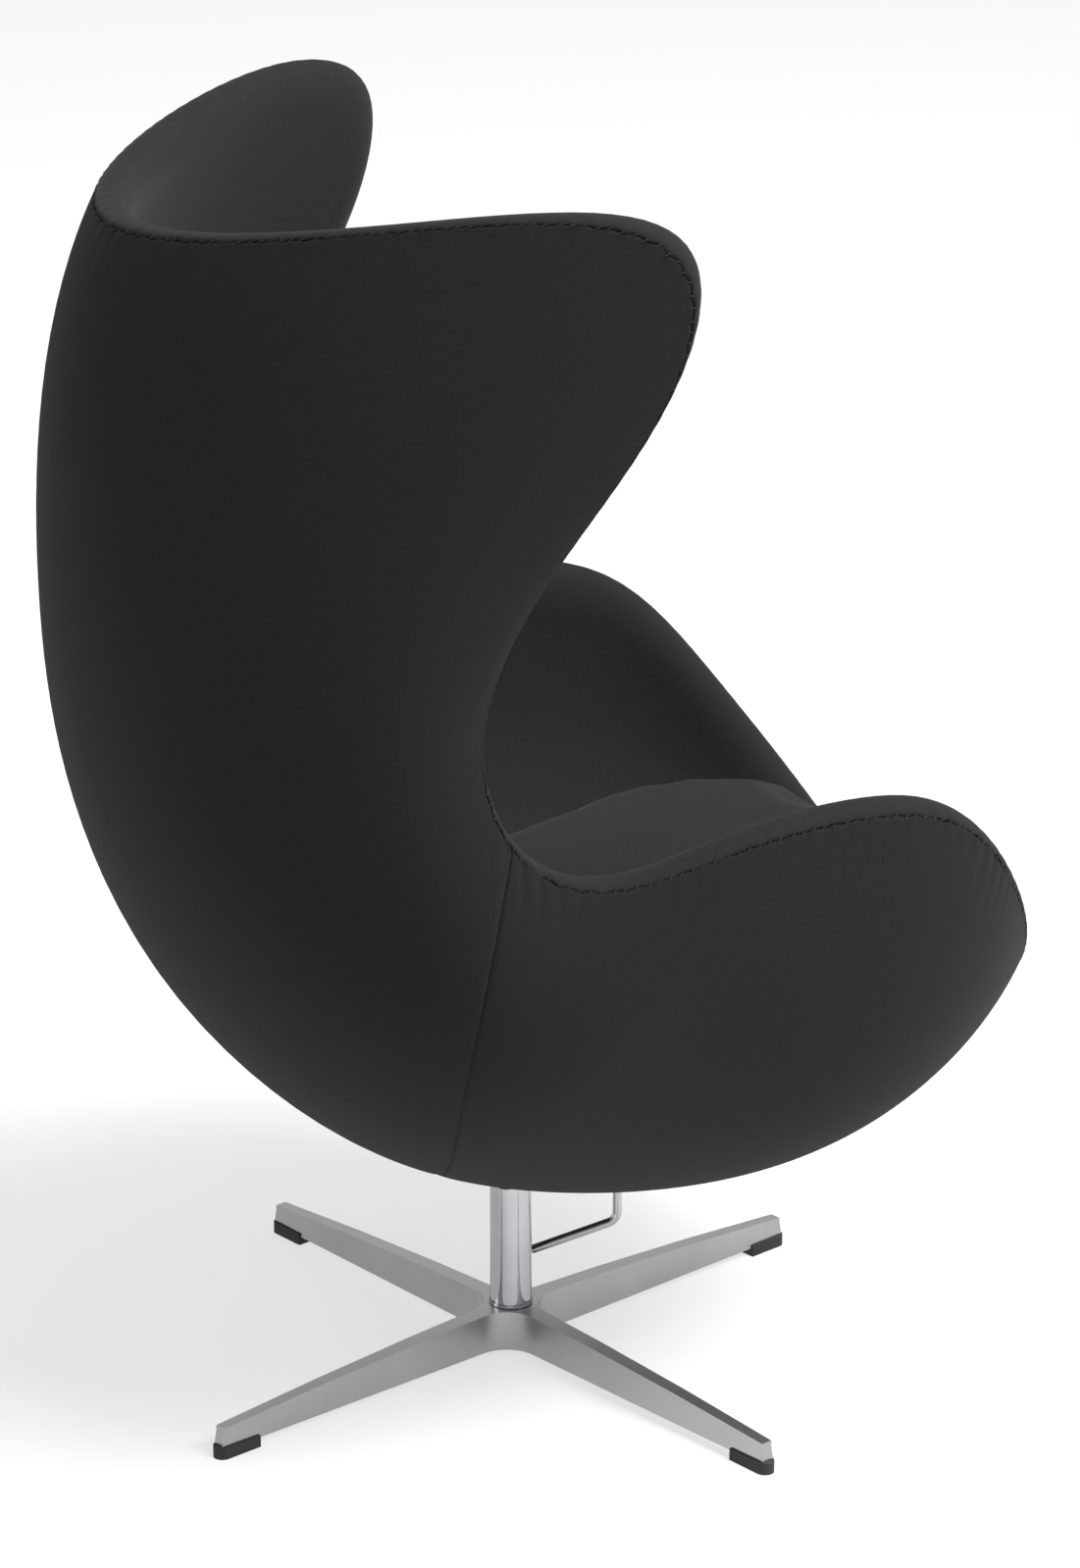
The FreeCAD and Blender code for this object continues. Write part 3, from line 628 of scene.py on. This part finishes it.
def cushion_rings(angles):
    """Rings of points out along the bowl, up the cushion's edge and in over its top."""
    reach = cushion_reach(angles)
    rings = [cushion_under(angles, s * reach) for s in np.linspace(0, 1, CUSHION_RINGS)]
    edge = rings[-1]
    centre = cushion_under(np.zeros(1), np.zeros(1))[0]
    for k in range(1, CUSHION_EDGE_RINGS + 1):
        rise = k / CUSHION_EDGE_RINGS
        full = cushion_top_z(edge[:, 1]) + CUSHION_SWELL - CUSHION_EDGE * (1 - rise)
        high = edge.copy()
        high[:, 2] = edge[:, 2] + (full - edge[:, 2]) * rise
        pull = 1 - CUSHION_DRAW_IN * max(0.0, rise - CUSHION_DRAW_FROM) / (1 - CUSHION_DRAW_FROM)
        high[:, :2] = centre[:2] + (high[:, :2] - centre[:2]) * pull
        rings.append(high)
    outer = rings[-1]
    for share in np.linspace(1, 0, CUSHION_RINGS)[1:]:
        top = outer.copy()
        top[:, :2] = centre[:2] + (outer[:, :2] - centre[:2]) * share
        top[:, 2] = cushion_top_z(top[:, 1], share) + CUSHION_SWELL
        rings.append(top)
    return rings


def cushion_piece():
    angles = np.linspace(0, 2 * math.pi, CUSHION_COLUMNS, endpoint=False)
    rings = cushion_rings(angles)
    faces = []
    for r in range(len(rings) - 1):
        low, high = r * CUSHION_COLUMNS, (r + 1) * CUSHION_COLUMNS
        for i in range(CUSHION_COLUMNS):
            j = (i + 1) % CUSHION_COLUMNS
            faces.append((low + i, low + j, high + j, high + i))
    piece = mesh_from("seat_cushion_fabric", np.concatenate(rings) * MM, faces)
    bm = bmesh.new()
    bm.from_mesh(piece.data)
    bmesh.ops.remove_doubles(bm, verts=bm.verts, dist=CUSHION_WELD)
    bmesh.ops.recalc_face_normals(bm, faces=bm.faces)
    bm.to_mesh(piece.data)
    bm.free()
    return piece


def apply_modifiers(piece):
    graph = bpy.context.evaluated_depsgraph_get()
    mesh = bpy.data.meshes.new_from_object(piece.evaluated_get(graph))
    piece.modifiers.clear()
    old = piece.data
    piece.data = mesh
    bpy.data.meshes.remove(old)


def vertex_values(mesh, name):
    """One row of three values per vertex."""
    values = np.empty(len(mesh.vertices) * 3)
    mesh.vertices.foreach_get(name, values)
    return values.reshape(-1, 3)


def puff(piece):
    """Fills the cushion: cloth under pressure, held where it lies in the bowl, its move capped."""
    remesh = piece.modifiers.new("remesh", "REMESH")
    remesh.mode = "VOXEL"
    remesh.voxel_size = PUFF_VOXEL * MM
    apply_modifiers(piece)
    start = vertex_values(piece.data, "co")
    group = piece.vertex_groups.new(name="held")
    for i, up in enumerate(vertex_values(piece.data, "normal")[:, 2]):
        hold = min(1.0, max(0.0, (HOLD_FROM - up) / HOLD_BAND))
        if hold:
            group.add([i], hold, "REPLACE")
    cloth = piece.modifiers.new("cloth", "CLOTH")
    cloth.settings.vertex_group_mass = "held"
    cloth.settings.use_pressure = True
    cloth.settings.uniform_pressure_force = PUFF_PRESSURE
    cloth.settings.effector_weights.gravity = 0
    cloth.settings.quality = PUFF_QUALITY
    cloth.point_cache.frame_start = 1
    cloth.point_cache.frame_end = PUFF_FRAMES
    scene = bpy.context.scene
    for frame_number in range(1, PUFF_FRAMES + 1):
        scene.frame_set(frame_number)
    apply_modifiers(piece)
    scene.frame_set(1)
    moved = vertex_values(piece.data, "co") - start
    length = np.linalg.norm(moved, axis=1, keepdims=True)
    moved *= np.minimum(1, PUFF_CAP * MM / np.maximum(length, 1e-9))
    piece.data.vertices.foreach_set("co", (start + moved).ravel())
    piece.data.update()


def finish_soft(piece):
    """Smooths the cushion's steps away and doubles its mesh."""
    smooth = piece.modifiers.new("smooth", "SMOOTH")
    smooth.factor = SMOOTH_FACTOR
    smooth.iterations = SMOOTH_ROUNDS
    sub = piece.modifiers.new("subdivide", "SUBSURF")
    sub.levels = sub.render_levels = 1
    apply_modifiers(piece)
    smooth_faces(piece.data)


# Materials
class Nodes:
    """Small helper that adds and links shader nodes."""

    def __init__(self, name):
        self.material = bpy.data.materials.new(name)
        self.material.use_nodes = True
        self.tree = self.material.node_tree
        self.shader = next(n for n in self.tree.nodes if n.type == "BSDF_PRINCIPLED")

    def add(self, kind, **settings):
        node = self.tree.nodes.new(kind)
        for key, value in settings.items():
            setattr(node, key, value)
        return node

    def link(self, out, into):
        self.tree.links.new(out, into)

    def math(self, operation, a, b=None):
        node = self.add("ShaderNodeMath", operation=operation)
        for socket, value in zip(node.inputs, (a, b)):
            if value is None:
                continue
            if isinstance(value, (int, float)):
                socket.default_value = value
            else:
                self.link(value, socket)
        return node.outputs[0]

    def blend(self, *weighted):
        """Sum of two values, each times its weight."""
        parts = [self.math("MULTIPLY", value, weight) for value, weight in weighted]
        return self.math("ADD", *parts)

    def noise(self, vector, scale, detail):
        node = self.add("ShaderNodeTexNoise")
        node.inputs["Scale"].default_value = scale
        node.inputs["Detail"].default_value = detail
        self.link(vector, node.inputs["Vector"])
        return node.outputs["Fac"]

    def scaled(self, vector, scale):
        node = self.add("ShaderNodeMapping")
        node.inputs["Scale"].default_value = scale
        self.link(vector, node.inputs["Vector"])
        return node.outputs[0]

    def mix(self, factor, low, high):
        node = self.add("ShaderNodeMix", data_type="RGBA")
        self.link(factor, node.inputs["Factor"])
        node.inputs["A"].default_value = (*low, 1)
        node.inputs["B"].default_value = (*high, 1)
        return node.outputs["Result"]

    def ramp(self, value, low, high, start=0.0, end=1.0):
        node = self.add("ShaderNodeMapRange")
        node.inputs["From Min"].default_value = start
        node.inputs["From Max"].default_value = end
        node.inputs["To Min"].default_value = low
        node.inputs["To Max"].default_value = high
        self.link(value, node.inputs["Value"])
        return node.outputs[0]

    def bump(self, height, strength, distance):
        node = self.add("ShaderNodeBump")
        node.inputs["Strength"].default_value = strength
        node.inputs["Distance"].default_value = distance
        self.link(height, node.inputs["Height"])
        self.link(node.outputs[0], self.shader.inputs["Normal"])


# Darkest and lightest tone of each finish
# One wool in three tones: the lining and cushion are painted lighter than the outer cover, as
# painted light in the shaded bowl
OUTER_WOOL = ((0.008, 0.0078, 0.009), (0.0175, 0.0171, 0.0191))
INNER_WOOL_PAINTED_LIGHT = ((0.0100, 0.0098, 0.0109), (0.0209, 0.0205, 0.0226))
CUSHION_WOOL_PAINTED_LIGHT = ((0.0092, 0.0090, 0.0100), (0.0190, 0.0186, 0.0204))
THREAD_TONES = ((0.008, 0.008, 0.009), (0.016, 0.016, 0.017))
CAST_FLANK = ((0.31, 0.31, 0.32), (0.42, 0.42, 0.43))
# Painted highlight: the lighter colour given to the casting's upward faces
CAST_PAINTED_HIGHLIGHT = (0.80, 0.80, 0.82, 1)
CHROME_TONES = ((0.40, 0.40, 0.42), (0.46, 0.46, 0.48))
ZINC_TONES = ((0.45, 0.45, 0.47), (0.58, 0.58, 0.60))
BLACK_STEEL_TONES = ((0.012, 0.012, 0.013), (0.022, 0.022, 0.024))
RUBBER_TONES = ((0.012, 0.012, 0.012), (0.022, 0.022, 0.022))
ACETAL_TONES = ((0.70, 0.70, 0.67), (0.78, 0.78, 0.75))
# Painted shade: the glass fibre core is near black, so that gaps at the rim seam read dark
GLASS_FIBRE_PAINTED_SHADE = ((0.016, 0.016, 0.015), (0.030, 0.029, 0.027))
PAPER_TONES = ((0.42, 0.42, 0.42), (0.43, 0.43, 0.43))

# Cloth: the pitch of its threads in metres, and slubs from noise stretched along each thread
THREAD_PITCH = 0.0012
SLUB_STRETCHES = ((110, 800, 110), (800, 110, 110))
SLUB_BAND = (0.75, 1.25)
CLOTH_PATCHES = 6.0
SLUB_TONE, WEAVE_TONE, PATCH_TONE = 0.5, 0.25, 0.25
SLUB_HEIGHT, WEAVE_HEIGHT = 0.8, 0.6
CLOTH_ROUGHNESS = (0.82, 0.96)
CLOTH_SPECULAR = 0.1
SHEEN_ROUGHNESS = 0.45
CLOTH_BUMP, CLOTH_RELIEF = 0.35, 0.0006

# Casting: faces that look up have a polish and a painted highlight, a lighter colour than the
# others, which are satin
POLISH_AND_HIGHLIGHT_FROM, POLISH_AND_HIGHLIGHT_FULL = 0.6, 0.9
CAST_CLOUDS = 22.0
CAST_GRAIN = 380.0
CAST_GRAIN_STRETCH = (1, 1, 9)
SATIN_ROUGHNESS = (0.26, 0.38)
GRAIN_ROUGHNESS = (-0.03, 0.03)
POLISHED_ROUGHNESS = 0.3
CAST_BUMP = 0.12
METAL_RELIEF = 0.0002

# Plated and moulded finishes
SMEAR_SCALE = 30.0
SMEAR_BAND = (0.35, 0.7)
MOULDED_PATCHES = 40.0
MOULDED_RELIEF = 0.0003


def fabric(name, tones, sheen, use_uv=True):
    """Fine wool weave: threads, slubs along both thread directions, and soft patches."""
    n = Nodes(name)
    coord = n.add("ShaderNodeTexCoord")
    place = coord.outputs["UV" if use_uv else "Object"]
    split = n.add("ShaderNodeSeparateXYZ")
    n.link(place, split.inputs[0])
    turns = 2 * math.pi / THREAD_PITCH
    warp = n.math("SINE", n.math("MULTIPLY", split.outputs["X"], turns))
    weft = n.math("SINE", n.math("MULTIPLY", split.outputs["Y"], turns))
    weave = n.ramp(n.math("MULTIPLY", warp, weft), 0.0, 1.0, -1.0, 1.0)
    slub_x, slub_y = [n.noise(n.scaled(place, stretch), 1.0, 2.0) for stretch in SLUB_STRETCHES]
    slubs = n.ramp(n.math("ADD", slub_x, slub_y), 0.0, 1.0, *SLUB_BAND)
    patches = n.noise(coord.outputs["Object"], CLOTH_PATCHES, 3.0)
    tone = n.blend((slubs, SLUB_TONE), (weave, WEAVE_TONE))
    tone = n.math("ADD", tone, n.math("MULTIPLY", patches, PATCH_TONE))
    n.link(n.mix(tone, *tones), n.shader.inputs["Base Color"])
    n.link(n.ramp(slubs, *CLOTH_ROUGHNESS), n.shader.inputs["Roughness"])
    n.shader.inputs["Specular IOR Level"].default_value = CLOTH_SPECULAR
    n.shader.inputs["Sheen Weight"].default_value = sheen
    n.shader.inputs["Sheen Roughness"].default_value = SHEEN_ROUGHNESS
    height = n.blend((weave, WEAVE_HEIGHT), (slubs, SLUB_HEIGHT))
    n.bump(height, CLOTH_BUMP, CLOTH_RELIEF)
    return n.material


def cast_aluminium(name):
    """Satin casting whose top faces have a polish, and are painted lighter than its sides as a
    painted highlight.
    """
    n = Nodes(name)
    coord = n.add("ShaderNodeTexCoord")
    upward = n.add("ShaderNodeSeparateXYZ")
    n.link(coord.outputs["Normal"], upward.inputs[0])
    # Mask of the upward faces, for their polish and for their painted highlight
    top = n.ramp(upward.outputs["Z"], 0.0, 1.0, POLISH_AND_HIGHLIGHT_FROM, POLISH_AND_HIGHLIGHT_FULL)
    cloudy = n.noise(coord.outputs["Object"], CAST_CLOUDS, 3.0)
    grain = n.noise(n.scaled(coord.outputs["Object"], CAST_GRAIN_STRETCH), CAST_GRAIN, 2.0)
    # Painted highlight: upward faces take the lighter colour, the sides the satin tone
    painted_highlight_mix = n.add("ShaderNodeMix", data_type="RGBA")
    n.link(top, painted_highlight_mix.inputs["Factor"])
    n.link(n.mix(cloudy, *CAST_FLANK), painted_highlight_mix.inputs["A"])
    painted_highlight_mix.inputs["B"].default_value = CAST_PAINTED_HIGHLIGHT
    n.link(painted_highlight_mix.outputs["Result"], n.shader.inputs["Base Color"])
    satin = n.math("ADD", n.ramp(cloudy, *SATIN_ROUGHNESS), n.ramp(grain, *GRAIN_ROUGHNESS))
    rough = n.add("ShaderNodeMix", data_type="FLOAT")
    n.link(top, rough.inputs["Factor"])
    n.link(satin, rough.inputs["A"])
    rough.inputs["B"].default_value = POLISHED_ROUGHNESS
    n.link(rough.outputs["Result"], n.shader.inputs["Roughness"])
    n.shader.inputs["Metallic"].default_value = 1.0
    n.bump(grain, CAST_BUMP, METAL_RELIEF)
    return n.material


def metal(name, tones, rough_low, rough_high, grain_scale=300.0, bump=0.04):
    """Plated metal with a faint smear and grain."""
    n = Nodes(name)
    coord = n.add("ShaderNodeTexCoord")
    smear = n.noise(coord.outputs["Object"], SMEAR_SCALE, 3.0)
    grain = n.noise(coord.outputs["Object"], grain_scale, 2.0)
    n.link(n.mix(smear, *tones), n.shader.inputs["Base Color"])
    n.link(n.ramp(smear, rough_low, rough_high, *SMEAR_BAND), n.shader.inputs["Roughness"])
    n.shader.inputs["Metallic"].default_value = 1.0
    n.bump(grain, bump, METAL_RELIEF)
    return n.material


def moulded(name, tones, rough_low, rough_high, grain_scale=900.0, bump=0.15):
    """Plastic, rubber, paint or paper with soft patches and a fine grain."""
    n = Nodes(name)
    coord = n.add("ShaderNodeTexCoord")
    patches = n.noise(coord.outputs["Object"], MOULDED_PATCHES, 3.0)
    grain = n.noise(coord.outputs["Object"], grain_scale, 2.0)
    n.link(n.mix(patches, *tones), n.shader.inputs["Base Color"])
    n.link(n.ramp(grain, rough_low, rough_high), n.shader.inputs["Roughness"])
    n.bump(grain, bump, MOULDED_RELIEF)
    return n.material


def dress(obj, material):
    obj.data.materials.clear()
    obj.data.materials.append(material)


def dress_node(name, material):
    obj = frame["nodes"][name]
    for place in obj.material_slots:
        place.material = material


# Studio, in metres; the camera and its focal length fit the photograph, which is 1599 pixels high
IMAGE_HEIGHT = 1599
FOCAL_PIXELS = 5000.0
SENSOR_WIDTH = 36.0
CAMERA_PLACE = (-3.5825, 1.4566, 1.8675)
CAMERA_AIM = (0.87222, -0.36128, -0.32971)
FAR_ENOUGH = 60
FLOOR_SIZE = 60
FLOOR_GLOW = 0.64
SKY_STRENGTH = 0.45
SKY_TONES = [(0.001, 0.45), (0.12, 0.55), (0.3, 0.95), (0.999, 1.0)]
LIGHT_TARGET = (0, 0, 0.7)
# Each light: name, place, size and watts
LIGHTS = [
    ("key", (-2.5, -2.2, 5.0), (3.4, 3.4), 640),
    ("rim", (1.6, 4.6, 2.2), (1.6, 2.6), 22),
]


def facing(direction):
    """Turns a camera or a light, which look along -Z, to a direction."""
    return Vector(direction).to_track_quat("-Z", "Y").to_euler()


def make_camera():
    data = bpy.data.cameras.new("camera")
    data.sensor_width = SENSOR_WIDTH
    data.lens = FOCAL_PIXELS / IMAGE_HEIGHT * data.sensor_width
    data.clip_end = FAR_ENOUGH
    camera = bpy.data.objects.new("camera", data)
    camera.location = CAMERA_PLACE
    camera.rotation_euler = facing(CAMERA_AIM)
    bpy.context.collection.objects.link(camera)
    bpy.context.scene.camera = camera


def area_light(name, place, size, power):
    data = bpy.data.lights.new(name, "AREA")
    data.shape = "RECTANGLE"
    data.size, data.size_y = size
    data.energy = power
    light = bpy.data.objects.new(name, data)
    light.location = place
    light.rotation_euler = facing(Vector(LIGHT_TARGET) - Vector(place))
    bpy.context.collection.objects.link(light)


def sky_nodes(world):
    """Even white tent: dimmer at the horizon, brighter overhead."""
    tree = world.node_tree
    coord = tree.nodes.new("ShaderNodeTexCoord")
    split = tree.nodes.new("ShaderNodeSeparateXYZ")
    tree.links.new(coord.outputs["Generated"], split.inputs[0])
    ramp = tree.nodes.new("ShaderNodeValToRGB")
    for place, tone in SKY_TONES:
        stop = ramp.color_ramp.elements.new(place)
        stop.color = (tone, tone, tone, 1)
    ramp.color_ramp.elements.remove(ramp.color_ramp.elements[0])
    ramp.color_ramp.elements.remove(ramp.color_ramp.elements[-1])
    tree.links.new(split.outputs["Z"], ramp.inputs["Fac"])
    background = tree.nodes["Background"]
    tree.links.new(ramp.outputs["Color"], background.inputs["Color"])
    background.inputs["Strength"].default_value = SKY_STRENGTH


def make_floor():
    """Pale paper that glows a little, so that it stays white under soft shadows."""
    bpy.ops.mesh.primitive_plane_add(size=FLOOR_SIZE, location=(0, 0, 0))
    floor = bpy.context.object
    floor.name = "studio_floor"
    pale = moulded("studio_paper", PAPER_TONES, 0.9, 0.95, 5.0, 0.0)
    shader = pale.node_tree.nodes["Principled BSDF"]
    shader.inputs["Specular IOR Level"].default_value = 0.0
    shader.inputs["Emission Color"].default_value = (1, 1, 1, 1)
    shader.inputs["Emission Strength"].default_value = FLOOR_GLOW
    dress(floor, pale)


def make_studio():
    make_floor()
    world = bpy.data.worlds.new("studio_world")
    world.use_nodes = True
    sky_nodes(world)
    bpy.context.scene.world = world
    bpy.context.scene.view_settings.view_transform = "Standard"
    for name, place, size, power in LIGHTS:
        area_light(name, place, size, power)


def make_upholstery():
    """The soft pieces, in place of their CAD solids, and the stitches."""
    covers = cover_pieces()
    lining = lining_piece()
    stitches = rim_stitches()
    cushion = cushion_piece()
    puff(cushion)
    finish_soft(cushion)

    wool_outer = fabric("charcoal_wool_outer", OUTER_WOOL, sheen=0.03)
    # Lining and cushion wool carry painted light: lighter tones for the shaded inside of the bowl
    wool_inner = fabric("charcoal_wool_inner_painted_light", INNER_WOOL_PAINTED_LIGHT, sheen=0.05)
    wool_cushion = fabric("charcoal_wool_cushion_painted_light", CUSHION_WOOL_PAINTED_LIGHT, sheen=0.06, use_uv=False)
    thread = moulded("whip_thread", THREAD_TONES, 0.6, 0.8)
    for piece, material, place in ((covers[0], wool_outer, "outer_fabric"),
                                   (covers[1], wool_outer, "outer_fabric"),
                                   (lining, wool_inner, "inner_fabric"),
                                   (stitches, thread, "outer_fabric"),
                                   (cushion, wool_cushion, "cushion_fabric")):
        dress(piece, material)
        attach(piece, "seat_shell")
    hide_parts("outer_back_cover")
    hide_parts("outer_front_cover")
    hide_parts("inner_lining")
    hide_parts("seat_cushion")


def dress_hard_parts():
    """Materials of the nodes that stay as CAD solids, by their slots."""
    finishes = {
        "polished_aluminium": cast_aluminium("cast_aluminium"),
        "chrome": metal("chrome_plate", CHROME_TONES, 0.03, 0.07, 500.0, 0.01),
        "steel": metal("zinc_plate", ZINC_TONES, 0.3, 0.45),
        "black_steel": moulded("black_powder_coat", BLACK_STEEL_TONES, 0.45, 0.6),
        "black_rubber": moulded("black_rubber", RUBBER_TONES, 0.65, 0.85),
        "bush_plastic": moulded("white_acetal", ACETAL_TONES, 0.4, 0.5),
        # The core's near-black colour is painted shade for the gaps at the rim seam
        "shell_plastic": moulded("glass_fibre_painted_shade", GLASS_FIBRE_PAINTED_SHADE, 0.5, 0.7, 120.0, 0.4),
    }
    for entry in frame["record"]["subparts"]:
        if entry["material_slot"] in finishes:
            dress_node(entry["node"], finishes[entry["material_slot"]])


make_camera()
make_studio()
make_upholstery()
dress_hard_parts()
